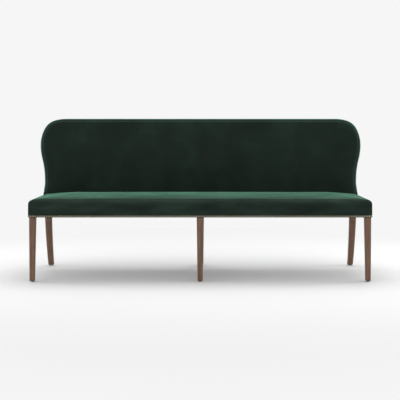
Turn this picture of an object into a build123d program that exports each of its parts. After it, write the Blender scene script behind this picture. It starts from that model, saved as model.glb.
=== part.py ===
from build123d import *
import os
from math import atan, cos, pi, radians, sin, tan

# Upholstered dining bench with six legs, a padded seat and a padded back with a waisted outline.
# X runs along the bench, people sit facing -Y and Z is up from the floor. Lengths are in millimetres.

# Whole bench
bench_depth = 625           # front of the seat to the back of the rear feet
seat_width = 2012           # over the velvet
leg_height = 377            # floor to the lower edge of the velvet
cushion_depth = 445         # front of the seat to its rear face, at the back

# Layers of upholstery, from the outside in
velvet = 1.6
wadding = 4
hessian = 0.8
webbing = 1.5
dust_cloth = 0.8
soft_gap = 0.3              # clearance between soft layers

# Seat cushion
seat_rise = 116             # velvet's lower edge to the top of the crown
seat_front_roll = 41        # radius of the roll along the front
seat_end_roll = 30          # radius of the roll along the two ends
seat_roll_angle = 84        # degrees of roll before the crown takes over
seat_front_crown = 16       # rise of the crown above the front roll
seat_end_crown = 14.7
seat_end_lift = 1.5         # top of the end crown above the top of the front crown, which cuts it
seat_corner = 22            # corner radius seen from above
skirt_rise = 93             # velvet's lower edge to the top of the skirt beside the back
seat_seam_inset = 17        # seam between the top panel and an end panel
wadding_hem = 14            # velvet's lower edge to the lower edge of the wadding

# Seat frame
rail_thickness = 24
rail_height = 56
frame_lift = 1              # velvet's lower edge to the underside of the rails
block_leg = 80              # length of a corner block along each rail
block_margin = 6            # height that a corner block leaves free above and below

# Legs
front_leg_inset = 7         # velvet's face to a front leg's outer face
rear_leg_inset = 3
front_leg_width = 40.5
front_foot_width = 30.5
front_foot_outset = 2.5     # shift of a corner leg's foot towards the end of the bench
rear_leg_width = 45
rear_foot_width = 36
rear_leg_depth = 39.4
rear_foot_depth = 35
leg_corner_share = 0.3      # corner radius of a leg, of its width
foot_ease = 4               # rounding of the foot's lower edge
foot_ease_angles = (0, 45, 90)
rake_straight_share = 0.45  # part of the rear legs' rake that is straight, the rest is curved
rear_leg_stations = 5

# Glides
glide_height = 4
glide_radius = 8
glide_sole = 5              # radius of the flat that rests on the floor
glide_nail = 1.2            # radius
glide_nail_length = 16

# Padded back, in its own leaning plane
back_angle = 9              # degrees of recline
back_thickness = 88
back_lift = 28              # bottom of the back to the base of its outline
waist_rise = 56
waist_nip = 6
waist_base_share = 0.41     # part of the lower curve that bulges
belly_rise = 253.2
belly_swell = 35
belly_share = 0.38          # part of the upper curve that bulges
corner_side = 222           # radii of the top corner, from the side to the top
corner_turn = 105
corner_top = 224
corner_side_angle = 27
corner_turn_angle = 72
back_front_edge = 36        # radius of the padded edge
back_rear_edge = 14
back_crown = 7              # bulge of the face, from its middle to its ends
back_seam_inset = 17        # seam between the face and the border, from the outline

# Back frame
post_depth = 36
top_rail_height = 60
lower_rail_height = 55
lower_rail_rise = 30        # base of the outline to the lower rail
wing_rise = 120             # base of the outline to the lower end of a wing

# Webbing
web_width = 50
seat_webs_per_bay = 7
seat_long_webs = 3
back_webs_per_bay = 6
web_end = 6                 # distance that a web or cloth stops short of the frame's outer edge

# Fasteners
dowel_radius = 4
dowel_length = 36
dowel_shares = (0.27, 0.73)
post_dowel_spacing = 18
fastener_gap = 0.05         # clearance round dowels, screws and nails
screw_radius = 2
screw_head = 4
screw_head_height = 2.6
screw_grip = 14             # wood of the block under a screw's head
screw_bite = 18             # depth of a screw in its rail
screw_place_share = 0.62    # place of a screw along a corner block
screw_height_shares = (0.32, 0.68)
nail_pitch = 13
nail_head = 4.4             # radius
nail_dome = 2.3
nail_dome_shares = ((0.72, 0.62), (0.28, 1))    # radius and height of the dome's two facets
nail_rise = 7.2             # velvet's lower edge to the middle of the nails
nail_shank = 0.8
nail_length = 13

overrun = 20                # extra reach of every cutting body

# Derived places
seat_half = seat_width / 2
front_y = -bench_depth / 2
cushion_rear = front_y + cushion_depth
frame_inset = velvet + soft_gap + wadding + soft_gap
frame_half = seat_half - frame_inset
frame_front = front_y + frame_inset
seat_top = leg_height + seat_rise
rail_low = leg_height + frame_lift
rail_top = rail_low + rail_height
web_top = rail_top + webbing
long_web_top = web_top + webbing
hessian_top = long_web_top + hessian
skirt_top = leg_height + skirt_rise
back_low = skirt_top + soft_gap

lean = radians(back_angle)
back_z = back_low + back_lift
back_y = cushion_rear + soft_gap + back_lift * tan(lean)
back_plane = Plane(origin=(0, back_y, back_z), x_dir=(1, 0, 0), z_dir=(0, -cos(lean), sin(lean)))
post_rear = back_thickness - frame_inset
post_front = post_rear - post_depth


def lean_point(rise, depth):
    """Y and Z of a point of the back, from its rise along the slope and its depth behind the face."""
    y = back_y + rise * sin(lean) + depth * cos(lean)
    z = back_z + rise * cos(lean) - depth * sin(lean)
    return y, z


def rise_at_height(height, depth):
    return (height - back_z + depth * sin(lean)) / cos(lean)


def rise_at_y(y, depth):
    return (y - back_y - depth * cos(lean)) / sin(lean)


rear_y = lean_point(rise_at_height(back_low, back_thickness), back_thickness)[0]
frame_rear = rear_y - frame_inset
rear_leg_front = frame_rear - rear_leg_depth
front_leg_x = seat_half - front_leg_inset - front_leg_width / 2
front_leg_y = front_y + front_leg_inset + front_leg_width / 2
front_foot_x = front_leg_x + front_foot_outset
front_block = front_leg_x - front_leg_width / 2
front_block_rear = front_leg_y + front_leg_width / 2
rear_leg_x = seat_half - rear_leg_inset - rear_leg_width / 2
rear_leg_y = (rear_leg_front + frame_rear) / 2
rear_foot_y = bench_depth / 2 - rear_foot_depth / 2
rear_block = rear_leg_x - rear_leg_width / 2
post_outer = seat_half - waist_nip - frame_inset


def arc_chain(start, arcs, inset):
    """Tangent arcs that begin with the outline facing +X, each a signed radius and its last angle."""
    x, y = start
    angle = 0
    segments = []
    for radius, last_angle in arcs:
        x -= radius * cos(angle)
        y -= radius * sin(angle)
        sweep = [angle, (angle + last_angle) / 2, last_angle]
        segments.append([(x + (radius - inset) * cos(a), y + (radius - inset) * sin(a)) for a in sweep])
        x += radius * cos(last_angle)
        y += radius * sin(last_angle)
        angle = last_angle
    return segments


def face_of(segments):
    """A flat face from segments of two points, a line, or three, an arc."""
    edges = [Line(*s) if len(s) == 2 else ThreePointArc(*s) for s in segments]
    return Face(Wire(edges))


def mirrored(segments):
    return [[(-x, y) for x, y in reversed(s)] for s in reversed(segments)]


def symmetric_face(half, base, arcs, low, inset):
    """A face that is the same left and right: straight sides from low to base, then the arcs."""
    right = arc_chain((half, base), arcs, inset)
    edge = half - inset
    top = right[-1][-1]
    sides = [[(edge, low), right[0][0]]] + right
    crest = [[top, (-top[0], top[1])]]
    return face_of(sides + crest + mirrored(sides) + [[(-edge, low), (edge, low)]])


def s_curve(rise, shift, bulge_share):
    """Radii of a bulging and a hollow arc that together rise and shift, and their turning angle."""
    turn = 2 * atan(shift / rise)
    radius = rise / sin(turn)
    return radius * bulge_share, radius * (1 - bulge_share), turn


def seat_edge(roll, crown, top):
    """Height at which an edge of the seat begins to roll, and the arcs of its roll and of its crown."""
    angle = radians(seat_roll_angle)
    return top - crown - roll * sin(angle), [(roll, angle), (crown / (1 - sin(angle)), pi / 2)]


def seat_form(inset, low):
    """The crowned seat cushion, inset from its outer face, down to a flat underside at low."""
    shoulder, arcs = seat_edge(seat_end_roll, seat_end_crown, seat_top + seat_end_lift)
    across = symmetric_face(seat_half, shoulder, arcs, low, inset)
    shoulder, arcs = seat_edge(seat_front_roll, seat_front_crown, seat_top)
    front = mirrored(arc_chain((-front_y, shoulder), arcs, inset))
    start = front[-1][-1]
    crest = front[0][0]
    along = [[crest, (bench_depth, crest[1])], [(bench_depth, crest[1]), (bench_depth, low)]]
    along += [[(bench_depth, low), (start[0], low)], [(start[0], low), start]]
    side = face_of([list(reversed(s)) for s in reversed(front)] + along)
    width = extrude(Plane.XZ * across, amount=bench_depth, both=True)
    length = extrude(Plane.YZ * side, amount=seat_width, both=True)
    plan = box(-seat_half + inset, seat_half - inset, front_y + inset, cushion_rear - inset, low, back_z)
    corners = plan.edges().filter_by(Axis.Z).sort_by(Axis.Y)[:2]
    return width & length & fillet(corners, seat_corner - inset)


def box(x0, x1, y0, y1, z0, z1):
    return Pos(x0, y0, z0) * Box(x1 - x0, y1 - y0, z1 - z0, align=(Align.MIN, Align.MIN, Align.MIN))


def outline_arcs():
    base_bulge, base_hollow, base_turn = s_curve(waist_rise, waist_nip, waist_base_share)
    belly_bulge, belly_hollow, belly_turn = s_curve(belly_rise, belly_swell, belly_share)
    return [
        (base_bulge, base_turn),
        (-base_hollow, 0),
        (-belly_hollow, -belly_turn),
        (belly_bulge, 0),
        (corner_side, radians(corner_side_angle)),
        (corner_turn, radians(corner_turn_angle)),
        (corner_top, pi / 2),
    ]


def outline_face(inset):
    """The back's outline in its own plane, carried well below the seat."""
    return symmetric_face(seat_half, 0, outline_arcs(), -back_lift - back_thickness, inset)


outline_top = arc_chain((0, 0), outline_arcs(), 0)[-1][-1][1]
post_top = outline_top - frame_inset - top_rail_height


def lean_slab(face, front, rear):
    """A face of the back's plane made into a slab between two depths behind the back's face."""
    return back_plane * Pos(0, 0, -rear) * extrude(face, amount=rear - front)


def back_form(inset):
    """The padded back, inset from its outer face, with crowned face and rounded edges."""
    slab = extrude(outline_face(inset), amount=back_thickness - 2 * inset)
    slab = Pos(0, 0, inset - back_thickness) * slab
    half = outline_top / 2
    bow = (half**2 + back_crown**2) / (2 * back_crown)
    crown = Pos(0, half, -bow) * Rot(0, 90, 0) * Cylinder(bow - inset, 2 * seat_width)
    slab = slab & crown
    slab = fillet(slab.faces().sort_by(Axis.Z)[-1].edges(), back_front_edge - inset)
    slab = fillet(slab.faces().sort_by(Axis.Z)[0].edges(), back_rear_edge - inset)
    below = box(-seat_width, seat_width, front_y, bench_depth, 0, back_low)
    return back_plane * slab - below


def drill(piece, cutters):
    """Cuts from a piece each cutter whose box meets the piece's own."""
    room = piece.bounding_box()
    near = [c for c in cutters if room.overlaps(c.bounding_box())]
    return piece - near if near else piece


def rod(point, direction, radius, before, after):
    """A round rod through a point, from a length before it to a length after it."""
    plane = Plane(origin=point, z_dir=direction)
    base = Align.CENTER, Align.CENTER, Align.MIN
    return plane * Pos(0, 0, -before) * Cylinder(radius, before + after, align=base)


def dowel_places():
    """Middle and direction of each dowel, for the seat frame and for the back frame."""
    seat = []
    for share in dowel_shares:
        z = rail_low + share * rail_height
        for side in (-1, 1):
            for x in (side * front_leg_width / 2, side * front_block):
                seat.append(((x, frame_front + rail_thickness / 2, z), (1, 0, 0)))
            for x in (side * rear_leg_width / 2, side * rear_block):
                seat.append(((x, frame_rear - rail_thickness / 2, z), (1, 0, 0)))
        for x in (rail_thickness / 2 - frame_half, 0, frame_half - rail_thickness / 2):
            for y in (front_block_rear, rear_leg_front):
                seat.append(((x, y, z), (0, 1, 0)))
    back = []
    for share in dowel_shares:
        rise = lower_rail_rise + share * lower_rail_height
        y, z = lean_point(rise, post_front + rail_thickness / 2)
        for x in (-rear_block, -rear_leg_width / 2, rear_leg_width / 2, rear_block):
            back.append(((x, y, z), (1, 0, 0)))
    y, z = lean_point(post_top, post_front + post_depth / 2)
    middle = (rear_block + post_outer) / 2
    for x in (-middle, 0, middle):
        for side in (-1, 1):
            spot = (x + side * post_dowel_spacing / 2, y, z)
            back.append((spot, (0, sin(lean), cos(lean))))
    return seat, back


def dowels(places, gap):
    half = dowel_length / 2
    return [rod(spot, axis, dowel_radius + gap, half + gap, half + gap) for spot, axis in places]


def screw_places():
    """Point on the rail's inner face and direction into the rail, for each corner block screw."""
    places = []
    low, high = [rail_low + share * rail_height for share in screw_height_shares]
    inner_x = frame_half - rail_thickness
    for side in (-1, 1):
        for end, inner_y in ((-1, frame_front + rail_thickness), (1, frame_rear - rail_thickness)):
            reach = screw_place_share * block_leg
            places.append(((side * (inner_x - reach), inner_y, low), (0, end, 0)))
            places.append(((side * inner_x, inner_y - end * reach, high), (side, 0, 0)))
    return places


def screw(spot, axis):
    plane = Plane(origin=spot, z_dir=axis)
    shank = rod(spot, axis, screw_radius, screw_grip, screw_bite)
    head = Pos(0, 0, -screw_grip - screw_head_height / 2) * Cylinder(screw_head, screw_head_height)
    return shank + plane * head


def screw_bore(spot, axis):
    plane = Plane(origin=spot, z_dir=axis)
    shank = rod(spot, axis, screw_radius + fastener_gap, screw_grip + overrun, screw_bite)
    room = Pos(0, 0, -screw_grip - block_leg / 2) * Cylinder(screw_head + fastener_gap, block_leg)
    return shank + plane * room


def nail_places():
    """Point on the velvet and outward direction of each trim nail, at an even pitch round the seat."""
    front_run = seat_half - seat_corner
    corner_run = seat_corner * pi / 2
    side_run = rear_y - nail_head - velvet - front_y - seat_corner
    half_path = front_run + corner_run + side_run
    count = round(half_path / nail_pitch)
    pitch = half_path / count
    places = []
    for index in range(count):
        s = (index + 1 / 2) * pitch
        turn = min(max(s - front_run, 0) / seat_corner, pi / 2)
        x = min(s, front_run) + seat_corner * sin(turn)
        y = front_y + seat_corner * (1 - cos(turn)) + max(s - front_run - corner_run, 0)
        for side in (-1, 1):
            places.append(((side * x, y, leg_height + nail_rise), (side * sin(turn), -cos(turn), 0)))
    return places


def trim_nail():
    """One nail at the origin, with its domed head towards +Z and its shank below."""
    facets = [(nail_head * out, nail_dome * up) for out, up in nail_dome_shares]
    corners = [(0, 0), (nail_head, 0), *facets, (0, nail_dome)]
    half = face_of([[a, b] for a, b in zip(corners, corners[1:] + corners[:1])])
    head = revolve(Plane.XZ * half, Axis.Z)
    base = Align.CENTER, Align.CENTER, Align.MAX
    return head + Cylinder(nail_shank, nail_length, align=base)


def place(part, spot, axis):
    return Plane(origin=spot, z_dir=axis) * part


def rounded_section(x, y, z, width, depth):
    radius = leg_corner_share * min(width, depth)
    return Pos(x, y, z) * RectangleRounded(width, depth, radius)


def eased_foot(x, y, width, depth, slope):
    """Sections that round a foot's lower edge, from its sole up. Slope is the foot's shift in Y per rise."""
    sections = []
    for angle in foot_ease_angles:
        inset = foot_ease * (1 - sin(radians(angle)))
        rise = foot_ease * (1 - cos(radians(angle)))
        spot = (x, y + slope * (rise - foot_ease), glide_height + rise)
        sections.append(rounded_section(*spot, width - 2 * inset, depth - 2 * inset))
    return sections


def leg_bore(x, y):
    return rod((x, y, glide_height), (0, 0, 1), glide_nail + fastener_gap, overrun, glide_nail_length)


def front_leg(x, foot_x):
    """A tapered leg with a square block above it, set back under the upholstery."""
    top = rounded_section(x, front_leg_y, leg_height, front_leg_width, front_leg_width)
    foot = eased_foot(foot_x, front_leg_y, front_foot_width, front_foot_width, 0)
    leg = loft([*foot, top], ruled=True)
    half = front_leg_width / 2
    left = max(x - half, -frame_half)
    right = min(x + half, frame_half)
    block = box(left, right, frame_front, front_block_rear, leg_height, rail_top)
    if x:
        side = Axis.X if x < 0 else -Axis.X
        corner = block.edges().filter_by(Axis.Z).sort_by(Axis.Y)[:2].sort_by(side)[0]
        block = fillet(corner, seat_corner - frame_inset)
    return leg + block - leg_bore(foot_x, front_leg_y)


def rear_leg_lower(x):
    """The visible sabre part of a rear leg, from the foot up to the seat."""
    sections = []
    low = glide_height + foot_ease
    for station in range(rear_leg_stations):
        share = station / (rear_leg_stations - 1)
        rake = rake_straight_share * share + (1 - rake_straight_share) * share**2
        width = rear_leg_width + (rear_foot_width - rear_leg_width) * share
        depth = rear_leg_depth + (rear_foot_depth - rear_leg_depth) * share
        y = rear_leg_y + rake * (rear_foot_y - rear_leg_y)
        sections.append(rounded_section(x, y, leg_height + share * (low - leg_height), width, depth))
    slope = (2 - rake_straight_share) * (rear_leg_y - rear_foot_y) / (leg_height - low)
    foot = eased_foot(x, rear_foot_y, rear_foot_width, rear_foot_depth, slope)
    return loft(sections) + loft(foot, ruled=True)


def rear_leg(x, form):
    """A sabre leg that goes on upwards as a leaning back post."""
    low_rise = rise_at_y(rear_leg_front, post_front)
    high_rise = rise_at_y(frame_rear, post_rear)
    corners = [
        (rear_leg_front, leg_height),
        lean_point(low_rise, post_front),
        lean_point(post_top, post_front),
        lean_point(post_top, post_rear),
        lean_point(high_rise, post_rear),
        (frame_rear, leg_height),
    ]
    lines = [[a, b] for a, b in zip(corners, corners[1:] + corners[:1])]
    half = rear_leg_width / 2
    left = max(x - half, -post_outer)
    right = min(x + half, post_outer)
    post = Pos(left, 0, 0) * extrude(Plane.YZ * face_of(lines), amount=right - left, dir=(1, 0, 0))
    seat_part = post & box(left, right, front_y, bench_depth, 0, back_low)
    return rear_leg_lower(x) + seat_part + (post & form) - leg_bore(x, rear_foot_y)


def glide(x, y):
    """A domed glide with a flat sole and a nail into the foot."""
    top = (glide_radius, glide_height)
    sole = (glide_sole, 0)
    swell = ((glide_radius + glide_sole) / 2 + glide_height / 8, glide_height * 3 / 8)
    half = face_of([[(0, 0), sole], [sole, swell, top], [top, (0, glide_height)], [(0, glide_height), (0, 0)]])
    dome = revolve(Plane.XZ * half, Axis.Z)
    nail = rod((0, 0, glide_height), (0, 0, 1), glide_nail, glide_height / 2, glide_nail_length)
    return Pos(x, y, 0) * (dome + nail)


def seat_rails():
    """Rails of the seat frame by name: two bays at the front and rear, two ends and a middle rail."""
    rails = {}
    for name, side in (("left", -1), ("right", 1)):
        near, far = sorted((side * front_leg_width / 2, side * front_block))
        front = box(near, far, frame_front, frame_front + rail_thickness, rail_low, rail_top)
        rails["front_rail_" + name] = front
        near, far = sorted((side * rear_leg_width / 2, side * rear_block))
        rear = box(near, far, frame_rear - rail_thickness, frame_rear, rail_low, rail_top)
        rails["rear_rail_" + name] = rear
        near, far = sorted((side * (frame_half - rail_thickness), side * frame_half))
        rails["side_rail_" + name] = box(near, far, front_block_rear, rear_leg_front, rail_low, rail_top)
    half = rail_thickness / 2
    rails["cross_rail"] = box(-half, half, front_block_rear, rear_leg_front, rail_low, rail_top)
    return rails


def corner_block(side, end):
    """A triangular block in a corner of the seat frame, notched round the leg. End is -1 at the front."""
    rail_x = frame_half - rail_thickness
    rail_y = frame_front + rail_thickness if end < 0 else frame_rear - rail_thickness
    leg_x, leg_y = (front_block, front_block_rear) if end < 0 else (rear_block, rear_leg_front)
    corner = (side * rail_x, rail_y)
    along = (side * (rail_x - block_leg), rail_y)
    across = (side * rail_x, rail_y - end * block_leg)
    triangle = face_of([[corner, along], [along, across], [across, corner]])
    low = rail_low + block_margin
    block = extrude(Pos(0, 0, low) * triangle, amount=rail_height - 2 * block_margin, dir=(0, 0, 1))
    near, far = sorted((side * leg_x, side * seat_half))
    first, last = sorted((leg_y, rail_y + end * rail_thickness))
    return block - box(near, far, first, last, 0, back_z)


def back_rails(form, face):
    """Top rail, lower rails and wings of the back frame."""
    slab = lean_slab(face, post_front, post_rear) & form
    above = lean_slab(Pos(0, post_top + seat_width / 2) * Rectangle(3 * seat_width, seat_width), 0, back_thickness)
    pieces = {"back_top_rail": slab & above}
    for name, side in (("left", -1), ("right", 1)):
        length = rear_block - rear_leg_width / 2
        middle = side * (rear_block + rear_leg_width / 2) / 2
        face_rail = Pos(middle, lower_rail_rise + lower_rail_height / 2) * Rectangle(length, lower_rail_height)
        pieces["back_lower_rail_" + name] = lean_slab(face_rail, post_front, post_front + rail_thickness)
        zone = Rectangle(seat_width, post_top - wing_rise)
        zone = Pos(side * (post_outer + seat_width / 2), (post_top + wing_rise) / 2) * zone
        pieces["back_wing_" + name] = slab & lean_slab(zone, 0, back_thickness)
    return pieces


def bay_webs(count, inner, outer):
    """Middle of each web across both bays, evenly spaced in the bay from inner to outer."""
    step = (outer - inner) / count
    return [side * (inner + (index + 1 / 2) * step) for side in (-1, 1) for index in range(count)]


def seat_support():
    """Webbing both ways and the hessian over it."""
    first = frame_front + web_end
    last = frame_rear - web_end
    half = web_width / 2
    places = bay_webs(seat_webs_per_bay, rear_leg_width / 2, rear_block)
    cross = [box(x - half, x + half, first, last, rail_top, web_top) for x in places]
    reach = frame_half - web_end
    step = (cushion_rear - first) / seat_long_webs
    middles = [first + (index + 1 / 2) * step for index in range(seat_long_webs)]
    long = [box(-reach, reach, y - half, y + half, web_top, long_web_top) for y in middles]
    cloth = box(-reach, reach, first, cushion_rear - frame_inset, long_web_top, hessian_top)
    return cross, long, cloth


def back_support():
    """Upright webs on the back frame and the hessian in front of them."""
    low = lower_rail_rise + web_end
    high = outline_top - frame_inset - web_end - corner_top * (1 - sin(radians(corner_turn_angle)))
    strip = Rectangle(web_width, high - low)
    webs = []
    for x in bay_webs(back_webs_per_bay, rear_leg_width / 2, rear_block):
        webs.append(lean_slab(Pos(x, (low + high) / 2) * strip, post_front - webbing, post_front))
    face = outline_face(frame_inset + web_end)
    cloth = lean_slab(face, post_front - webbing - hessian, post_front - webbing)
    below = lean_slab(Pos(0, low - seat_width / 2) * Rectangle(3 * seat_width, seat_width), 0, back_thickness)
    return webs, cloth - below


def seat_upholstery():
    """Foam, wadding and the three velvet panels of the seat."""
    far = leg_height - overrun
    foam_low = hessian_top + soft_gap
    foam = seat_form(frame_inset, far) - box(-seat_half, seat_half, front_y, bench_depth, 0, foam_low)
    under_back = box(-seat_half + velvet, seat_half - velvet, cushion_rear - frame_inset - overrun,
                     bench_depth, 0, foam_low)
    outer = velvet + soft_gap
    layer = seat_form(outer, leg_height + wadding_hem) - seat_form(outer + wadding, far) - under_back
    shell = seat_form(0, leg_height) - seat_form(velvet, far) - under_back
    seam = seat_half - seat_seam_inset
    between = box(-seam, seam, front_y, bench_depth, 0, back_z)
    panels = {"seat_top_velvet": shell & between}
    ends = shell - between
    for name, side in (("left", -1), ("right", 1)):
        near, far_side = sorted((side * seam, side * seat_half))
        end = ends & box(near, far_side, front_y, bench_depth, 0, back_z)
        near, far_side = sorted((side * (seat_half - velvet), side * seat_half))
        skirt = box(near, far_side, cushion_rear - velvet, rear_y - velvet, leg_height, skirt_top)
        panels["seat_side_velvet_" + name] = end + skirt
    return foam, layer, panels


def back_upholstery(form):
    """Foam, wadding and the velvet face, border and outside panel of the back."""
    wide = 2 * seat_width
    tall = Pos(0, outline_top / 2) * Rectangle(wide, wide)
    foam = form & lean_slab(tall, 0, post_front - webbing - hessian)
    rear_seam = back_thickness - back_rear_edge
    outer = velvet + soft_gap
    layer = (back_form(outer) - back_form(outer + wadding)) & lean_slab(tall, 0, rear_seam)
    shell = back_form(0) - back_form(velvet)
    inside = lean_slab(outline_face(back_seam_inset), 0, back_front_edge)
    front = shell & lean_slab(tall, 0, rear_seam)
    rear = shell & lean_slab(tall, rear_seam, back_thickness)
    skirt = box(-seat_half, seat_half, rear_y - velvet, rear_y, leg_height, back_low)
    panels = {
        "back_front_velvet": front & inside,
        "back_border_velvet": front - inside,
        "outside_back_velvet": rear + skirt,
    }
    return foam, layer, panels


def dust_cover():
    reach = frame_half - web_end
    sheet = box(-reach, reach, frame_front + web_end, frame_rear - web_end, rail_low - dust_cloth, rail_low)
    room = web_end / 2
    cuts = []
    for x in (-front_leg_x, 0, front_leg_x):
        near, far = x - front_leg_width / 2 - room, x + front_leg_width / 2 + room
        cuts.append(box(near, far, front_y, front_block_rear + room, 0, back_z))
    for x in (-rear_leg_x, 0, rear_leg_x):
        near, far = x - rear_leg_width / 2 - room, x + rear_leg_width / 2 + room
        cuts.append(box(near, far, rear_leg_front - room, rear_y, 0, back_z))
    return sheet - cuts


def build():
    """Every piece of the bench by node name, as one part or a list of separate parts."""
    form = back_form(frame_inset)
    seat_dowels, back_dowels = dowel_places()
    screws = screw_places()
    nails = nail_places()
    nail = trim_nail()
    bores = dowels(seat_dowels + back_dowels, fastener_gap)
    bores += [screw_bore(*spot) for spot in screws]
    nail_bores = [rod(spot, axis, nail_shank + fastener_gap, nail_length + fastener_gap, overrun)
                  for spot, axis in nails]

    frame = seat_rails()
    for name, side in (("left", -1), ("middle", 0), ("right", 1)):
        frame["front_leg_" + name] = front_leg(side * front_leg_x, side * front_foot_x)
        frame["rear_leg_" + name] = rear_leg(side * rear_leg_x, form)
    for name, side in (("left", -1), ("right", 1)):
        frame["corner_block_front_" + name] = corner_block(side, -1)
        frame["corner_block_rear_" + name] = corner_block(side, 1)
    frame.update(back_rails(form, outline_face(frame_inset)))
    parts = {name: drill(piece, bores + nail_bores) for name, piece in frame.items()}

    for name, side in (("left", -1), ("middle", 0), ("right", 1)):
        parts["glide_front_" + name] = glide(side * front_foot_x, front_leg_y)
        parts["glide_rear_" + name] = glide(side * rear_leg_x, rear_foot_y)

    parts["seat_frame_dowels"] = dowels(seat_dowels, 0)
    parts["back_frame_dowels"] = dowels(back_dowels, 0)
    parts["corner_block_screws"] = [screw(*spot) for spot in screws]
    parts["seat_cross_webbing"], parts["seat_long_webbing"], parts["seat_hessian"] = seat_support()
    parts["back_webbing"], parts["back_hessian"] = back_support()
    parts["seat_foam"], parts["seat_wadding"], seat_panels = seat_upholstery()
    parts["back_foam"], parts["back_wadding"], back_panels = back_upholstery(form)
    parts.update({name: drill(panel, nail_bores) for name, panel in seat_panels.items()})
    parts.update(back_panels)
    parts["dust_cover"] = dust_cover()

    rows = {"left": [], "front": [], "right": []}
    for spot, axis in nails:
        row = "front" if axis[1] < -cos(pi / 4) else "left" if axis[0] < 0 else "right"
        rows[row].append(place(nail, spot, axis))
    for name, row in rows.items():
        parts["nail_trim_" + name] = row
    return parts


def write(parts):
    os.makedirs("parts", exist_ok=True)
    for name, piece in parts.items():
        solids = [s for p in piece for s in p.solids()] if isinstance(piece, list) else piece.solids()
        export_step(Compound(children=list(solids)) if len(solids) > 1 else solids[0], f"parts/{name}.step")


write(build())
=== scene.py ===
import math

import bmesh
import bpy
import numpy as np
from mathutils import Matrix, Vector
from mathutils.bvhtree import BVHTree
from mathutils.kdtree import KDTree


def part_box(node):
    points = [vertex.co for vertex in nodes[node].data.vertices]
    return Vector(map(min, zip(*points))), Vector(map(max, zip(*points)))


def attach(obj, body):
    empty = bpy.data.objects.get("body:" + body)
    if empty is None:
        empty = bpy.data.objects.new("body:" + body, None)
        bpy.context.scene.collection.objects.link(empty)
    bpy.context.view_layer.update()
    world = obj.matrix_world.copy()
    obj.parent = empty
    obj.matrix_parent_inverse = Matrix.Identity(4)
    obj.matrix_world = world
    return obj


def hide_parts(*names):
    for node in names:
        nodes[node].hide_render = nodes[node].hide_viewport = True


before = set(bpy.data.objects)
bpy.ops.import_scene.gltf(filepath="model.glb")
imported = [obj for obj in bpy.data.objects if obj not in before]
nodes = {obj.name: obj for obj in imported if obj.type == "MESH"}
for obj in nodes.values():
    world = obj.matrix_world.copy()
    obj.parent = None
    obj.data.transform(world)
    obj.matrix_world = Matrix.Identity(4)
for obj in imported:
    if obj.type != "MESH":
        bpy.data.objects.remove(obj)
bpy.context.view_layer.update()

# Upholstered dining bench. Lengths are in metres, and MM turns millimetres into them.
MM = 0.001

# Photograph's view: a level camera in front of the bench
CAMERA_X = 27 * MM
CAMERA_HEIGHT = 874 * MM
CAMERA_TO_SEAT = 4700 * MM
FRAME_PIXELS = 400
FOCAL_PIXELS = 808.4
AXIS_PIXEL_X = 204.76
AXIS_PIXEL_Y = 132
SENSOR_WIDTH = 36           # in millimetres, as Blender wants it

# Velvet seat
SEAM_INSET = 17 * MM        # seam to the end of the seat, and to the outline of the back
SEAT_CORNER = 22 * MM       # radius of the front corners
TACK_RISE = 12 * MM         # height of the velvet that the nails hold tight
HEM_WIDTH = 14 * MM         # velvet turned under the rails
HEM_RECESS = 2.6 * MM       # rise of the underside inside the hem
VELVET = 1.6 * MM           # thickness
SKIRT_DEPTH = 14 * MM       # outside back's skirt, which hangs behind the seat
SOFT_GAP = 0.3 * MM         # between the seat's cover and the back's

# Velvet back, in its leaning plane: x along the bench, y up the back, z out of its face
BACK_ANGLE = math.radians(9)
BACK_LIFT = 28 * MM         # base of the back's outline above its lower edge
BACK_THICKNESS = 88 * MM
FRONT_EDGE = 36 * MM        # radius of the padded edge
REAR_EDGE = 14 * MM
REAR_SEAM = REAR_EDGE - BACK_THICKNESS
EDGE_MIDDLE = (REAR_SEAM - FRONT_EDGE) / 2
OUTLINE_FOOT = -BACK_LIFT / 2
CORNER_REACH = 250 * MM     # outline's side to the middle of its top corner
OUTLINE_STEP = 3 * MM
BACK_PIECES = ("back_front_velvet", "back_border_velvet", "outside_back_velvet", "back_foam",
               "back_wadding")

# Mesh of the two covers
VOXEL = 8 * MM
SINK = 2 * VOXEL            # how far a cover runs on below its hem, until it is cut off there
RELAX_ROUNDS = 4
RELAX_STEPS = (0.6, -0.63)  # share of a smoothing and of the reverse one after it
SHARP_ANGLE = math.radians(50)

# Stuffing that swells the covers, as a cloth simulation
PRESSURE = 1.5
CLOTH_MASS = 0.3
CLOTH_STIFFNESS = 60
SHEAR_STIFFNESS = CLOTH_STIFFNESS / 2
BENDING_STIFFNESS = 2
CLOTH_QUALITY = 4
CLOTH_FRAMES = 14
SWELL_LIMIT = 4 * MM
HELD_STRIP = 0.6 * VOXEL    # half the width of the velvet that a seam holds

# Seams, and the pleats above the nails
GROOVE_WIDTH = 3.2 * MM
GROOVE_DEPTH = 2.6 * MM
SEAM_ROLL = 0.8 * MM
PUCKER_PITCH = 11 * MM
PUCKER_REACH = 16 * MM
PUCKER_HEIGHT = 0.35 * MM
PUCKER_WANDER = 1.5
WANDER_PITCHES = (7.3 * PUCKER_PITCH, 3.1 * PUCKER_PITCH)
WANDER_SHIFT = 1
PLEAT_HEIGHT = 0.5 * MM
PLEAT_REACH = 4             # counted in TACK_RISE

# Nail trim
NAIL_PITCH = 13 * MM
NAIL_RADIUS = 4.2 * MM
NAIL_DOME = 2.3 * MM        # height of a head
NAIL_RISE = 7.2 * MM        # seat's lower edge to the middle of a nail
NAIL_ASKEW = 0.12
NAIL_SEED = 7
NAIL_SEGMENTS = 14
NAIL_RINGS = 8
CORNER_STEPS = 6
UP = (0, 0, 1)

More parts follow.
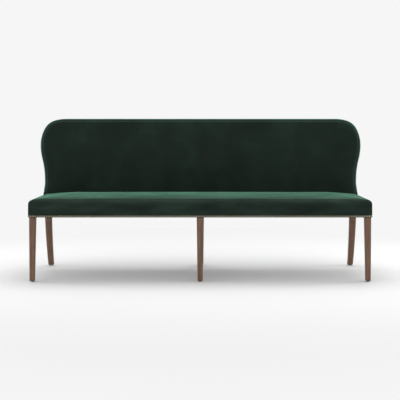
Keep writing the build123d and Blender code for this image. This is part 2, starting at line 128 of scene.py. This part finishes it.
# Studio: each lamp's place, what it points at, its size, and its power in watts
BACKDROP = "#f6f6f6"
FILL_STRENGTH = 0.72
FLOOR_TONE = 0.93
FLOOR_RADIUS = 12
FLOOR_SEGMENTS = 64
FLOOR_FADE = (1.4, 2.6)
LAMPS = (
    ("overhead_lamp", (0, 0.3, 2.9), (0, 0.1, 0.4), (3.4, 1.8), 35),
    ("left_lamp", (-3.4, 0.4, 1.0), (-0.5, 0.15, 0.6), (0.8, 0.8), 18),
    ("right_lamp", (3.4, 0.3, 1.2), (0, 0.1, 0.5), (0.8, 0.8), 24),
    ("front_lamp", (0.5, -8, 0.7), (0, 0, 0.4), (5, 1.6), 15),
)

seat_low, seat_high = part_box("seat_top_velvet")
back_low, back_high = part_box("back_border_velvet")
seat_half, seat_end_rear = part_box("seat_side_velvet_right")[1][:2]
front_y = seat_low[1]
cushion_rear = seat_high[1]
edge_z = seat_low[2]
back_base = back_low[2]
rear_y = seat_end_rear + VELVET
skirt_y = rear_y - SKIRT_DEPTH


def linear(code):
    """Linear colour of an sRGB hex value."""
    channels = [int(code[i:i + 2], 16) / 255 for i in (1, 3, 5)]
    return [c / 12.92 if c <= 0.04045 else ((c + 0.055) / 1.055) ** 2.4 for c in channels] + [1]


def add(tree, kind, inputs=None, stops=(), **settings):
    """Adds a node with its settings and a ramp's stops. Its inputs are given by name or number, as
    a value, a socket to link, or a node to link by its first output."""
    made = tree.nodes.new(kind)
    for key, value in settings.items():
        setattr(made, key, value)
    for number, (place, code) in enumerate(stops):
        bands = made.color_ramp.elements
        band = bands[number] if number < len(bands) else bands.new(place)
        band.position = place
        band.color = linear(code)
    for key, value in (inputs or {}).items():
        if isinstance(value, bpy.types.Node):
            value = value.outputs[0]
        if isinstance(value, bpy.types.NodeSocket):
            tree.links.new(value, made.inputs[key])
        else:
            made.inputs[key].default_value = value
    return made


def places(mesh):
    """A mesh's points, one row for each."""
    flat = np.empty(len(mesh.vertices) * 3)
    mesh.vertices.foreach_get("co", flat)
    return flat.reshape(-1, 3)


def normals(mesh):
    """Outward direction at each of a mesh's points."""
    flat = np.empty(len(mesh.vertices) * 3)
    mesh.vertices.foreach_get("normal", flat)
    return flat.reshape(-1, 3)


def move_to(mesh, points):
    mesh.vertices.foreach_set("co", points.ravel())
    mesh.update()


def press(piece, relief):
    """Moves each point of a piece out along its normal, or in where its relief is negative."""
    move_to(piece.data, places(piece.data) + normals(piece.data) * relief[:, None])


def new_piece(name, mesh):
    mesh.name = name
    piece = bpy.data.objects.new(name, mesh)
    bpy.context.scene.collection.objects.link(piece)
    return piece


def piece_from(name, bm):
    """A piece made of a bmesh, which is freed."""
    mesh = bpy.data.meshes.new(name)
    bm.to_mesh(mesh)
    bm.free()
    return new_piece(name, mesh)


def evaluated(piece):
    """The piece's mesh with its modifiers applied, as a new mesh."""
    graph = bpy.context.evaluated_depsgraph_get()
    return bpy.data.meshes.new_from_object(piece.evaluated_get(graph), depsgraph=graph)


def bake_modifiers(piece):
    mesh = evaluated(piece)
    piece.modifiers.clear()
    old = piece.data
    piece.data = mesh
    bpy.data.meshes.remove(old)
    mesh.name = piece.name


def add_box(bm, low, high):
    size = Vector(high) - Vector(low)
    middle = (Vector(high) + Vector(low)) / 2
    matrix = Matrix.Translation(middle) @ Matrix.Diagonal((*size, 1))
    bmesh.ops.create_cube(bm, size=1, matrix=matrix)


def add_node(bm, name, matrix):
    """Adds a CAD node's mesh, moved by a matrix."""
    mesh = nodes[name].data.copy()
    mesh.transform(matrix)
    bm.from_mesh(mesh)
    bpy.data.meshes.remove(mesh)


def remeshed(name, bm):
    """A closed piece of even small faces round everything in a bmesh."""
    piece = piece_from(name, bm)
    remesh = piece.modifiers.new("remesh", "REMESH")
    remesh.mode = "VOXEL"
    remesh.voxel_size = VOXEL
    remesh.use_smooth_shade = True
    bake_modifiers(piece)
    return piece


def relax(piece):
    """Evens a surface out without shrinking it: each smoothing is followed by a reverse one."""
    for factor in RELAX_ROUNDS * RELAX_STEPS:
        smooth = piece.modifiers.new("relax", "SMOOTH")
        smooth.factor = factor
        smooth.iterations = 1
    bake_modifiers(piece)


def swell(piece, held):
    """Cloth simulation of a stuffed cover that is held at its seams and hems. The stuffing keeps it
    from sinking in, and the stretch left in the velvet from rising past the limit."""
    start, out = places(piece.data), normals(piece.data)
    piece.vertex_groups.new(name="held").add(np.flatnonzero(held).tolist(), 1, "REPLACE")
    cloth = piece.modifiers.new("cloth", "CLOTH")
    settings = cloth.settings
    settings.quality = CLOTH_QUALITY
    settings.mass = CLOTH_MASS
    settings.tension_stiffness = settings.compression_stiffness = CLOTH_STIFFNESS
    settings.shear_stiffness = SHEAR_STIFFNESS
    settings.bending_stiffness = BENDING_STIFFNESS
    settings.use_pressure = True
    settings.uniform_pressure_force = PRESSURE
    settings.effector_weights.gravity = 0
    settings.vertex_group_mass = "held"
    cloth.collision_settings.use_collision = False
    scene = bpy.context.scene
    for number in range(1, CLOTH_FRAMES + 1):
        scene.frame_set(number)
    bake_modifiers(piece)
    scene.frame_set(1)
    piece.vertex_groups.clear()
    lift = np.clip(((places(piece.data) - start) * out).sum(axis=1), 0, None)
    move_to(piece.data, start + out * (SWELL_LIMIT * np.tanh(lift / SWELL_LIMIT))[:, None])


def refine(piece):
    fine = piece.modifiers.new("fine", "SUBSURF")
    fine.levels = fine.render_levels = 1
    bake_modifiers(piece)


def carve(piece, *boxes):
    """Cuts boxes out of a piece, each given by its lowest and its highest corner."""
    for low, high in boxes:
        bm = bmesh.new()
        add_box(bm, low, high)
        cutter = piece_from("cutter", bm)
        cut = piece.modifiers.new("cut", "BOOLEAN")
        cut.operation = "DIFFERENCE"
        cut.solver = "EXACT"
        cut.object = cutter
        bake_modifiers(piece)
        bpy.data.meshes.remove(cutter.data)


def finish_cloth(piece, cloth):
    mesh = piece.data
    mesh.materials.clear()
    mesh.materials.append(cloth)
    mesh.shade_smooth()
    mesh.set_sharp_from_angle(angle=SHARP_ANGLE)


def seam_relief(offset, along):
    """How far a sewn seam draws the cloth in, with the roll and the small puckers beside it."""
    reach = np.abs(offset) / PUCKER_REACH
    groove = -GROOVE_DEPTH * np.exp(-(offset / GROOVE_WIDTH) ** 2)
    roll = SEAM_ROLL * reach * np.exp(1 - 2 * reach)
    long, short = WANDER_PITCHES
    wander = np.sin(along / long) + np.sin(along / short + WANDER_SHIFT)
    pucker = np.cos(2 * math.pi * along / PUCKER_PITCH + PUCKER_WANDER * wander)
    return groove + roll + PUCKER_HEIGHT * pucker * np.exp(-2 * reach)


def seat_hull():
    """Rough shape of the stuffed seat: a hull round its velvet, and a box on under the back."""
    hull = bmesh.new()
    for name in ("seat_top_velvet", "seat_side_velvet_left", "seat_side_velvet_right"):
        for x, y, z in places(nodes[name].data):
            if y <= cushion_rear + SOFT_GAP:
                hull.verts.new((x, y, z))
                hull.verts.new((x, y, z - SINK))
    found = bmesh.ops.convex_hull(hull, input=hull.verts)
    spare = {item for item in found["geom_interior"] + found["geom_unused"]
             if isinstance(item, bmesh.types.BMVert)}
    bmesh.ops.delete(hull, geom=list(spare), context="VERTS")
    overlap = 5 * VOXEL
    add_box(hull, (-seat_half, cushion_rear - overlap, edge_z - SINK),
            (seat_half, skirt_y - SOFT_GAP, back_base - SOFT_GAP))
    return hull


def seat_seam(at):
    """How far each point lies outside the seam at its end of the seat."""
    return np.abs(at[:, 0]) - seat_half + SEAM_INSET


def seat_relief(at):
    """The end seams, and the small pleats that rise from the nails."""
    seams = seam_relief(seat_seam(at), at[:, 1] - at[:, 2]) * (at[:, 1] < cushion_rear)
    round_hem = np.where(np.abs(at[:, 0]) < seat_half - SEAT_CORNER, at[:, 0], at[:, 1])
    rise = (at[:, 2] - edge_z - NAIL_RISE) / TACK_RISE
    above = np.clip(rise, 0, None)
    pleats = above * np.exp(1 - above) * (rise < PLEAT_REACH)
    return seams + PLEAT_HEIGHT * pleats * np.cos(2 * math.pi * round_hem / NAIL_PITCH)


def seat_cushion():
    """The seat's velvet with its stuffing: crowned, held at its hem and at its two end seams."""
    piece = remeshed("seat_cushion", seat_hull())
    relax(piece)
    at = places(piece.data)
    held = ((at[:, 2] < edge_z + TACK_RISE) | (at[:, 1] > cushion_rear - VOXEL)
            | (np.abs(seat_seam(at)) < HELD_STRIP))
    swell(piece, held)
    refine(piece)
    press(piece, seat_relief(places(piece.data)))
    rear = skirt_y - SOFT_GAP
    below = ((-2 * seat_half, 2 * front_y, 0), (2 * seat_half, 2 * rear, edge_z))
    within = ((HEM_WIDTH - seat_half, front_y + HEM_WIDTH, 0),
              (seat_half - HEM_WIDTH, rear - HEM_WIDTH, edge_z + HEM_RECESS))
    carve(piece, below, within)
    return piece


def back_plane():
    """Matrix from the back's own plane, which leans back from the base of its outline."""
    lean = BACK_LIFT * math.tan(BACK_ANGLE)
    foot = Matrix.Translation((0, cushion_rear + SOFT_GAP + lean, back_base + BACK_LIFT))
    return foot @ Matrix.Rotation(math.pi / 2 - BACK_ANGLE, 4, "X")


def back_hull(to_plane):
    """Rough shape of the stuffed back, in its plane: its pieces and a box below them."""
    hull = bmesh.new()
    add_box(hull, (-seat_half, cushion_rear + SINK, edge_z - SINK),
            (seat_half, rear_y, back_base + SINK))
    hull.transform(to_plane)
    for name in BACK_PIECES:
        add_node(hull, name, to_plane)
    return hull


def back_outline(to_plane):
    """The back's outline in its plane, met by rays from outside, and the length along it."""
    bm = bmesh.new()
    add_node(bm, "back_border_velvet", to_plane)
    wall = BVHTree.FromBMesh(bm)
    top = max(v.co.y for v in bm.verts)
    bm.free()
    far = 2 * back_high[0]
    centre = Vector((back_high[0] - CORNER_REACH, top - CORNER_REACH, EDGE_MIDDLE))
    rays = [(Vector((far, y, EDGE_MIDDLE)), Vector((-1, 0, 0)))
            for y in np.arange(OUTLINE_FOOT, centre.y, OUTLINE_STEP)]
    for angle in np.arange(0, math.pi / 2, OUTLINE_STEP / CORNER_REACH):
        outward = Vector((math.cos(angle), math.sin(angle), 0))
        rays.append((centre + far * outward, -outward))
    rays += [(Vector((x, far, EDGE_MIDDLE)), Vector((0, -1, 0)))
             for x in np.arange(centre.x, 0, -OUTLINE_STEP)]
    met = [wall.ray_cast(start, way)[0] for start, way in rays]
    right = [(point.x, point.y) for point in met if point]
    line = np.array(right + [(-x, y) for x, y in reversed(right)])
    steps = np.linalg.norm(np.diff(line, axis=0), axis=1)
    return line, np.concatenate([[0], np.cumsum(steps)])


def inset_from(line, at):
    """Each point's distance from an outline, and the number of the outline's nearest point."""
    tree = KDTree(len(line))
    for number, (x, y) in enumerate(line):
        tree.insert((x, y, 0), number)
    tree.balance()
    found = [tree.find((x, y, 0)) for x, y in at[:, :2]]
    return np.array([f[2] for f in found]), np.array([f[1] for f in found])


def back_relief(at, line, length):
    """The seam on the face, which follows the outline, and the seam at the rear of the edge."""
    inset, number = inset_from(line, at)
    along = length[number]
    face = seam_relief(inset - SEAM_INSET, along) * (at[:, 2] > -FRONT_EDGE)
    edge = seam_relief(at[:, 2] - REAR_SEAM, along) * (inset < REAR_EDGE) * (at[:, 2] < -FRONT_EDGE)
    return (face + edge) * (at[:, 1] > -BACK_LIFT)


def back_cushion():
    """The back's velvet with its stuffing: face, border and outside back, held at both seams."""
    plane = back_plane()
    to_plane = plane.inverted()
    piece = remeshed("back_cushion", back_hull(to_plane))
    relax(piece)
    line, length = back_outline(to_plane)
    at = places(piece.data)
    inset, _ = inset_from(line, at)
    held = ((np.abs(inset - SEAM_INSET) < HELD_STRIP) | (at[:, 2] < REAR_SEAM + VOXEL)
            | (at[:, 1] < OUTLINE_FOOT))
    swell(piece, held)
    refine(piece)
    press(piece, back_relief(places(piece.data), line, length))
    piece.data.transform(plane)
    far = 2 * seat_half
    carve(piece, ((-far, 2 * front_y, 0), (far, skirt_y, back_base)),
          ((-far, 0, 0), (far, far, edge_z)))
    return piece


def hem_path():
    """A curve through the nails' places, round the seat a little above its lower edge, and the
    number of nails."""
    start = rear_y - NAIL_RADIUS - VELVET
    run = start - front_y - SEAT_CORNER
    half = seat_half - SEAT_CORNER + SEAT_CORNER * math.pi / 2 + run
    count = round(half / NAIL_PITCH)
    first = start - half / count / 2
    turns = [math.pi / 2 * step / CORNER_STEPS for step in range(CORNER_STEPS + 1)]
    bend = [(seat_half - SEAT_CORNER * (1 - math.sin(turn)),
             front_y + SEAT_CORNER * (1 - math.cos(turn))) for turn in turns]
    right = bend + [(seat_half, first)]
    line = [(-x, y) for x, y in reversed(right)] + right
    curve = bpy.data.curves.new("nail_path", "CURVE")
    curve.dimensions = "3D"
    spline = curve.splines.new("POLY")
    spline.points.add(len(line) - 1)
    for point, (x, y) in zip(spline.points, line):
        point.co = (x, y, edge_z + NAIL_RISE, 1)
    path = bpy.data.objects.new("nail_trim", curve)
    bpy.context.scene.collection.objects.link(path)
    return path, 2 * count


def nail_head(tree, given):
    """A ball of the nail's radius, with its upper half as high as the dome and its lower half
    pressed flat."""
    ball = add(tree, "GeometryNodeMeshUVSphere",
               {"Segments": NAIL_SEGMENTS, "Rings": NAIL_RINGS, "Radius": 1})
    spot = add(tree, "ShaderNodeSeparateXYZ", {0: add(tree, "GeometryNodeInputPosition")}).outputs
    rise = add(tree, "ShaderNodeMath", {0: spot["Z"], 1: 0}, operation="MAXIMUM")
    scaled = {}
    for axis, reach, size in (("X", spot["X"], "Radius"), ("Y", spot["Y"], "Radius"),
                              ("Z", rise, "Dome")):
        scaled[axis] = add(tree, "ShaderNodeMath", {0: reach, 1: given[size]}, operation="MULTIPLY")
    shape = add(tree, "ShaderNodeCombineXYZ", scaled)
    head = add(tree, "GeometryNodeSetPosition", {"Geometry": ball, "Position": shape})
    return add(tree, "GeometryNodeSetShadeSmooth", {0: head})


def nail_facing(tree, given):
    """Rotation that faces a nail away from the seat, leaning a little to either side at random."""
    tangent = add(tree, "GeometryNodeInputTangent")
    outward = add(tree, "ShaderNodeVectorMath", {0: tangent, 1: UP}, operation="CROSS_PRODUCT")
    least = add(tree, "ShaderNodeMath", {0: given["Askew"], 1: -1}, operation="MULTIPLY")
    lean = add(tree, "FunctionNodeRandomValue", {2: least, 3: given["Askew"], 8: given["Seed"]})
    beside = add(tree, "ShaderNodeVectorMath", {0: outward, 1: UP}, operation="CROSS_PRODUCT")
    shift = add(tree, "ShaderNodeVectorMath", {0: beside, "Scale": lean.outputs[1]},
                operation="SCALE")
    facing = add(tree, "ShaderNodeVectorMath", {0: outward, 1: shift}, operation="ADD")
    return add(tree, "FunctionNodeAlignRotationToVector", {"Vector": facing}, axis="Z")


def nail_tree(brass):
    """Geometry nodes that set nail heads at even steps along a path, and their inputs' sockets."""
    tree = bpy.data.node_groups.new("nail_trim", "GeometryNodeTree")
    sockets = {}
    for name, kind in (("Path", "Geometry"), ("Nails", "Int"), ("Radius", "Float"),
                       ("Dome", "Float"), ("Askew", "Float"), ("Seed", "Int")):
        socket = tree.interface.new_socket(name, in_out="INPUT", socket_type="NodeSocket" + kind)
        sockets[name] = socket.identifier
    tree.interface.new_socket("Nails", in_out="OUTPUT", socket_type="NodeSocketGeometry")
    given = add(tree, "NodeGroupInput").outputs
    head = nail_head(tree, given)
    row = add(tree, "GeometryNodeResampleCurve", {"Curve": given["Path"], "Count": given["Nails"]})
    turn = nail_facing(tree, given)
    nails = add(tree, "GeometryNodeInstanceOnPoints",
                {"Points": row, "Instance": head, "Rotation": turn})
    real = add(tree, "GeometryNodeRealizeInstances", {"Geometry": nails})
    plated = add(tree, "GeometryNodeSetMaterial", {"Geometry": real, "Material": brass})
    add(tree, "NodeGroupOutput", {0: plated})
    return tree, sockets


def nail_trim(brass):
    path, count = hem_path()
    tree, sockets = nail_tree(brass)
    trim = path.modifiers.new("nails", "NODES")
    trim.node_group = tree
    for name, value in (("Nails", count), ("Radius", NAIL_RADIUS), ("Dome", NAIL_DOME),
                        ("Askew", NAIL_ASKEW), ("Seed", NAIL_SEED)):
        trim[sockets[name]] = value
    mesh = evaluated(path)
    bpy.data.objects.remove(path)
    return new_piece("nail_trim", mesh)


def material(name):
    """A new material and its empty node tree."""
    made = bpy.data.materials.new(name)
    made.use_nodes = True
    made.node_tree.nodes.clear()
    return made, made.node_tree


def real_size(tree, size):
    """Object coordinates counted in a pattern's own size along x, y and z."""
    spot = add(tree, "ShaderNodeTexCoord").outputs["Object"]
    scale = [1 / length for length in size]
    return add(tree, "ShaderNodeMapping", {"Vector": spot, "Scale": scale})


def velvet(name, tones, glow, patch, brushed):
    """Cut-pile cotton velvet, woven and dyed green; the tones each copy is given also hold painted
    light, lighter for the seat and darker for the back. Its pile glows where it is seen edge on,
    and lies in soft patches and in streaks along the bench, where it was brushed. The pile is drawn
    3 mm coarse so that it shows."""
    streak = (420 * MM, 90 * MM, 60 * MM)
    crease = (50 * MM, 30 * MM, 30 * MM)
    pile = (3 * MM,) * 3
    made, tree = material(name)
    patches = add(tree, "ShaderNodeTexNoise", {
        "Vector": real_size(tree, patch), "Scale": 1, "Detail": 2, "Roughness": 0.5,
        "Distortion": 0.5})
    tone = add(tree, "ShaderNodeValToRGB", {"Fac": patches}, zip((0.3, 0.5, 0.72), tones))
    streaks = add(tree, "ShaderNodeTexNoise", {
        "Vector": real_size(tree, streak), "Scale": 1, "Detail": 3, "Roughness": 0.55,
        "Distortion": 0.5})
    shade = add(tree, "ShaderNodeValToRGB", {"Fac": streaks},
                ((0.34, "#8a8a8a"), (0.5, "#d2d2d2"), (0.66, "#ffffff")))
    body, sheen = [add(tree, "ShaderNodeMix", {0: brushed, 6: colour, 7: shade.outputs["Color"]},
                       data_type="RGBA", blend_type="MULTIPLY").outputs[2]
                   for colour in (tone.outputs["Color"], linear("#86cfad"))]
    creases = add(tree, "ShaderNodeTexNoise", {
        "Vector": real_size(tree, crease), "Scale": 1, "Detail": 3, "Roughness": 0.5})
    soft = add(tree, "ShaderNodeBump", {"Height": creases, "Distance": 2.5 * MM, "Strength": 0.5})
    tufts = add(tree, "ShaderNodeTexNoise", {
        "Vector": real_size(tree, pile), "Scale": 1, "Detail": 2, "Roughness": 0.5})
    rough = add(tree, "ShaderNodeBump", {
        "Height": tufts, "Distance": 0.5 * MM, "Strength": 0.5, "Normal": soft})
    surface = add(tree, "ShaderNodeBsdfPrincipled", {
        "Base Color": body, "Roughness": 0.85, "Specular IOR Level": 0.1, "Sheen Weight": 1,
        "Sheen Roughness": glow, "Sheen Tint": sheen, "Normal": rough})
    add(tree, "ShaderNodeOutputMaterial", {"Surface": surface})
    return made


def stained_wood():
    """Beech stained mid brown under satin lacquer: straight grain up the leg, with dark pores."""
    figure = (9 * MM, 9 * MM, 160 * MM)
    pore = (1.4 * MM, 1.4 * MM, 18 * MM)
    made, tree = material("stained_beech")
    grain = add(tree, "ShaderNodeTexNoise", {
        "Vector": real_size(tree, figure), "Scale": 1, "Detail": 5, "Roughness": 0.6,
        "Distortion": 0.4})
    tone = add(tree, "ShaderNodeValToRGB", {"Fac": grain},
               ((0.28, "#593e2e"), (0.5, "#705038"), (0.74, "#856249")))
    pores = add(tree, "ShaderNodeTexNoise", {
        "Vector": real_size(tree, pore), "Scale": 1, "Detail": 2, "Roughness": 0.5})
    dark = add(tree, "ShaderNodeValToRGB", {"Fac": pores}, ((0.36, "#b8a89c"), (0.5, "#ffffff")))
    stain = add(tree, "ShaderNodeMix", {0: 0.6, 6: tone.outputs["Color"], 7: dark.outputs["Color"]},
                data_type="RGBA", blend_type="MULTIPLY")
    relief = add(tree, "ShaderNodeBump", {"Height": pores, "Distance": 0.3 * MM, "Strength": 0.35})
    surface = add(tree, "ShaderNodeBsdfPrincipled", {
        "Base Color": stain.outputs[2], "Roughness": 0.5, "Coat Weight": 0.15,
        "Coat Roughness": 0.35, "Normal": relief})
    add(tree, "ShaderNodeOutputMaterial", {"Surface": surface})
    return made


def mottled(name, stops, size, rough, relief, strength=0.4, metallic=0):
    """A finish whose colour and height both follow a noise of that size."""
    made, tree = material(name)
    mottle = add(tree, "ShaderNodeTexNoise", {
        "Vector": real_size(tree, size), "Scale": 1, "Detail": 3, "Roughness": 0.5})
    tone = add(tree, "ShaderNodeValToRGB", {"Fac": mottle}, stops)
    uneven = add(tree, "ShaderNodeBump", {
        "Height": mottle, "Distance": relief, "Strength": strength})
    surface = add(tree, "ShaderNodeBsdfPrincipled", {
        "Base Color": tone, "Metallic": metallic, "Roughness": rough, "Normal": uneven})
    add(tree, "ShaderNodeOutputMaterial", {"Surface": surface})
    return made


def antique_brass():
    """Pressed brass nail heads with a brown patina, rubbed bright on the domes."""
    return mottled("antique_brass", ((0.3, "#857c64"), (0.5, "#b3aa92"), (0.7, "#d8d2be")),
                   (3.5 * MM,) * 3, 0.28, 0.2 * MM, strength=0.3, metallic=1)


def planed_beech():
    """Unfinished beech from the planer, with its grain along the bench."""
    return mottled("planed_beech", ((0.3, "#b08a5e"), (0.7, "#c9a578")),
                   (200 * MM, 8 * MM, 8 * MM), 0.6, 0.2 * MM)


def plated_screws():
    """Steel screws with a dull zinc plating."""
    return mottled("zinc_plated_steel", ((0.3, "#8f9296"), (0.7, "#b4b7ba")),
                   (4 * MM,) * 3, 0.35, 0.1 * MM, metallic=1)


def nickel_glides():
    """Pressed steel glides with a nickel plating, scuffed by the floor."""
    return mottled("nickel_glide", ((0.3, "#8c8884"), (0.7, "#a9a5a0")),
                   (5 * MM,) * 3, 0.38, 0.1 * MM, metallic=1)


def woven(name, dark, light, thread, rough):
    """A plain weave of threads that far apart, with its crossings raised."""
    made, tree = material(name)
    parts = add(tree, "ShaderNodeSeparateXYZ", {0: real_size(tree, (thread,) * 3)})
    waves = []
    for axis in ("X", "Y"):
        turn = add(tree, "ShaderNodeMath", {0: parts.outputs[axis], 1: math.pi},
                   operation="MULTIPLY")
        waves.append(add(tree, "ShaderNodeMath", {0: turn}, operation="SINE"))
    weave = add(tree, "ShaderNodeMath", {0: waves[0], 1: waves[1]}, operation="MULTIPLY")
    height = add(tree, "ShaderNodeMath", {0: weave, 1: 0.5, 2: 0.5}, operation="MULTIPLY_ADD")
    tone = add(tree, "ShaderNodeValToRGB", {"Fac": height}, ((0.2, dark), (0.8, light)))
    raised = add(tree, "ShaderNodeBump", {
        "Height": height, "Distance": thread / 3, "Strength": 0.5})
    surface = add(tree, "ShaderNodeBsdfPrincipled", {
        "Base Color": tone, "Roughness": rough, "Normal": raised})
    add(tree, "ShaderNodeOutputMaterial", {"Surface": surface})
    return made


def finish_frame():
    """Finishes for the CAD pieces that stay as they are, chosen by how their names start. What
    isn't listed is beech."""
    wood, beech = stained_wood(), planed_beech()
    webbing = woven("elastic_webbing", "#2a2927", "#4c4947", 2.5 * MM, 0.9)
    hessian = woven("jute_hessian", "#6e5836", "#a98c5c", 3 * MM, 0.95)
    finishes = {
        "front_leg": wood,
        "rear_leg": wood,
        "glide": nickel_glides(),
        "corner_block_screws": plated_screws(),
        "seat_cross_webbing": webbing,
        "seat_long_webbing": webbing,
        "back_webbing": webbing,
        "seat_hessian": hessian,
        "back_hessian": hessian,
        "dust_cover": woven("black_dust_cloth", "#0c0c0d", "#1d1d1f", 2.5 * MM, 0.95),
    }
    for name, node in nodes.items():
        chosen = next((finishes[start] for start in finishes if name.startswith(start)), beech)
        node.data.materials.clear()
        node.data.materials.append(chosen)


def backdrop():
    """A pale world behind the bench, which lights it more dimly than it looks."""
    world = bpy.data.worlds.new("studio")
    bpy.context.scene.world = world
    world.use_nodes = True
    tree = world.node_tree
    tree.nodes.clear()
    fill = add(tree, "ShaderNodeBackground", {"Color": (1, 1, 1, 1), "Strength": FILL_STRENGTH})
    plain = add(tree, "ShaderNodeBackground", {"Color": linear(BACKDROP), "Strength": 1})
    rays = add(tree, "ShaderNodeLightPath").outputs
    seen = add(tree, "ShaderNodeMath", {0: rays["Is Camera Ray"], 1: rays["Is Glossy Ray"]},
               operation="MAXIMUM")
    both = add(tree, "ShaderNodeMixShader", {0: seen, 1: fill, 2: plain})
    add(tree, "ShaderNodeOutputWorld", {"Surface": both})


def floor():
    """A white floor that takes the bench's shadow and fades into the backdrop away from it."""
    bm = bmesh.new()
    bmesh.ops.create_circle(bm, cap_ends=True, segments=FLOOR_SEGMENTS, radius=FLOOR_RADIUS)
    piece = piece_from("floor", bm)
    paint, tree = material("matt_white_floor")
    matt = add(tree, "ShaderNodeBsdfDiffuse", {"Color": (FLOOR_TONE, FLOOR_TONE, FLOOR_TONE, 1)})
    glow = add(tree, "ShaderNodeEmission", {"Color": linear(BACKDROP), "Strength": 1})
    spot = add(tree, "ShaderNodeTexCoord").outputs["Object"]
    reach = add(tree, "ShaderNodeVectorMath", {0: spot}, operation="LENGTH").outputs["Value"]
    near, far = FLOOR_FADE
    fade = add(tree, "ShaderNodeMapRange", {"Value": reach, "From Min": near, "From Max": far},
               interpolation_type="SMOOTHSTEP")
    rays = add(tree, "ShaderNodeLightPath").outputs
    seen = add(tree, "ShaderNodeMath", {0: fade, 1: rays["Is Camera Ray"]}, operation="MULTIPLY")
    both = add(tree, "ShaderNodeMixShader", {0: seen, 1: matt, 2: glow})
    add(tree, "ShaderNodeOutputMaterial", {"Surface": both})
    piece.data.materials.append(paint)
    return piece


def lamps():
    """A broad lamp overhead, one beyond each end of the bench, and a wide one far in front."""
    for name, spot, aim, size, power in LAMPS:
        lamp = bpy.data.lights.new(name, "AREA")
        lamp.shape = "RECTANGLE"
        lamp.size, lamp.size_y = size
        lamp.energy = power
        holder = bpy.data.objects.new(name, lamp)
        holder.location = spot
        holder.rotation_euler = (Vector(aim) - Vector(spot)).to_track_quat("-Z", "Y").to_euler()
        bpy.context.scene.collection.objects.link(holder)


def camera():
    """The photograph's camera: level, and shifted so that its axis falls on the named pixel."""
    lens = bpy.data.cameras.new("camera")
    lens.sensor_width = SENSOR_WIDTH
    lens.lens = FOCAL_PIXELS * SENSOR_WIDTH / FRAME_PIXELS
    lens.shift_x = (FRAME_PIXELS / 2 - AXIS_PIXEL_X) / FRAME_PIXELS
    lens.shift_y = (AXIS_PIXEL_Y - FRAME_PIXELS / 2) / FRAME_PIXELS
    holder = bpy.data.objects.new("camera", lens)
    holder.location = (CAMERA_X, front_y - CAMERA_TO_SEAT, CAMERA_HEIGHT)
    holder.rotation_euler = (math.pi / 2, 0, 0)
    bpy.context.scene.collection.objects.link(holder)
    bpy.context.scene.camera = holder


def studio():
    """Backdrop, floor, lamps and camera of the photograph."""
    bpy.context.scene.view_settings.view_transform = "Standard"
    backdrop()
    floor()
    lamps()
    camera()


def dress():
    """Velvet, nails and finishes, each piece on the bench's one body."""
    finish_frame()
    seat = seat_cushion()
    # painted light: the seat's copy of the one velvet has lighter tones than the back's
    finish_cloth(seat, velvet("green_velvet_seat_painted_light", ("#212d27", "#26332c", "#2b3c33"), 0.22,
                              (200 * MM, 80 * MM, 70 * MM), 0.6))
    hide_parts("seat_top_velvet", "seat_side_velvet_left", "seat_side_velvet_right",
                "seat_wadding", "seat_foam")
    back = back_cushion()
    # painted shade: the back's copy of the one velvet has darker tones than the seat's
    finish_cloth(back, velvet("green_velvet_back_painted_shade", ("#18221d", "#1c2621", "#202e28"), 0.4,
                              (160 * MM, 160 * MM, 220 * MM), 0.1))
    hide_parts("back_front_velvet", "back_border_velvet", "outside_back_velvet",
                "back_wadding", "back_foam")
    trim = nail_trim(antique_brass())
    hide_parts("nail_trim_front", "nail_trim_left", "nail_trim_right")
    for piece, slot in ((seat, "green_velvet"), (back, "green_velvet"), (trim, "antique_brass")):
        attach(piece, "root")


studio()
dress()
